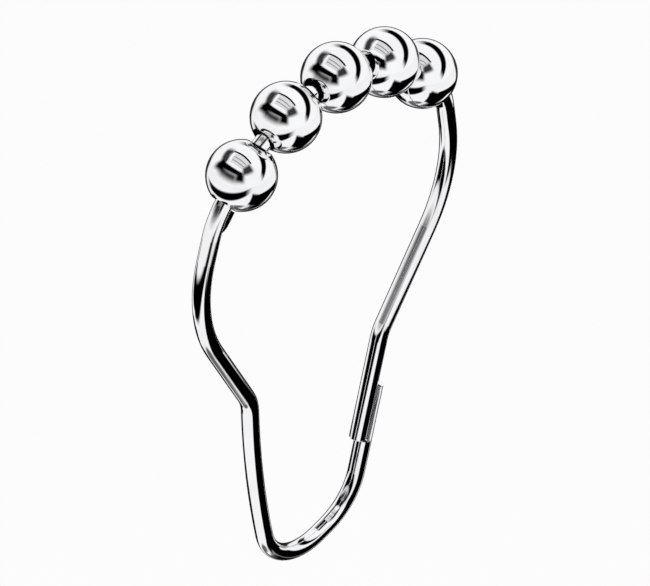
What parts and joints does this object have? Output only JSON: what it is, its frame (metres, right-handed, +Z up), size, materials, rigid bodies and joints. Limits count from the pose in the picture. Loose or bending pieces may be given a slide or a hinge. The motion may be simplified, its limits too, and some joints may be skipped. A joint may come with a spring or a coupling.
{
  "type": "shower curtain hook",
  "caption": "Closed wire hook that rolls along a shower rod on a row of bright beads and holds a curtain's eyelet in its lower bow, with a lapped spring clasp.",
  "frame": {"origin": "on the axis of the rod that the hook hangs from, in the plane of the wire ring", "axes": "+Z up, +Y along the rod, and +X towards the leg with the clasp, so the ring lies in the XZ plane"},
  "size_m": [0.0534, 0.01, 0.0886],
  "materials": {
    "wire_chrome": "bright chrome plate on steel wire",
    "bead_chrome": "mirror chrome plate on steel balls"
  },
  "bodies": {
    "wire": {"wire_ring": "wire_chrome"},
    "bead_1": {"roller_bead_1": "bead_chrome"},
    "bead_2": {"roller_bead_2": "bead_chrome"},
    "bead_3": {"roller_bead_3": "bead_chrome"},
    "bead_4": {"roller_bead_4": "bead_chrome"},
    "bead_5": {"roller_bead_5": "bead_chrome"}
  },
  "joints": [
    {"name": "bead_1_spin", "type": "hinge", "parent": "wire", "child": "bead_1", "pos_m": [-0.01843, 0, 0.0089], "axis": [-0.725, 0, -0.6887], "continuous": true},
    {"name": "bead_2_spin", "type": "hinge", "parent": "wire", "child": "bead_2", "pos_m": [-0.01, 0, 0.01463], "axis": [-0.9292, 0, -0.3696], "continuous": true},
    {"name": "bead_3_spin", "type": "hinge", "parent": "wire", "child": "bead_3", "pos_m": [0, 0, 0.01665], "axis": [-1, 0, 0], "continuous": true},
    {"name": "bead_4_spin", "type": "hinge", "parent": "wire", "child": "bead_4", "pos_m": [0.01, 0, 0.01463], "axis": [-0.9292, 0, 0.3696], "continuous": true},
    {"name": "bead_5_spin", "type": "hinge", "parent": "wire", "child": "bead_5", "pos_m": [0.01843, 0, 0.0089], "axis": [-0.725, 0, 0.6887], "continuous": true}
  ]
}
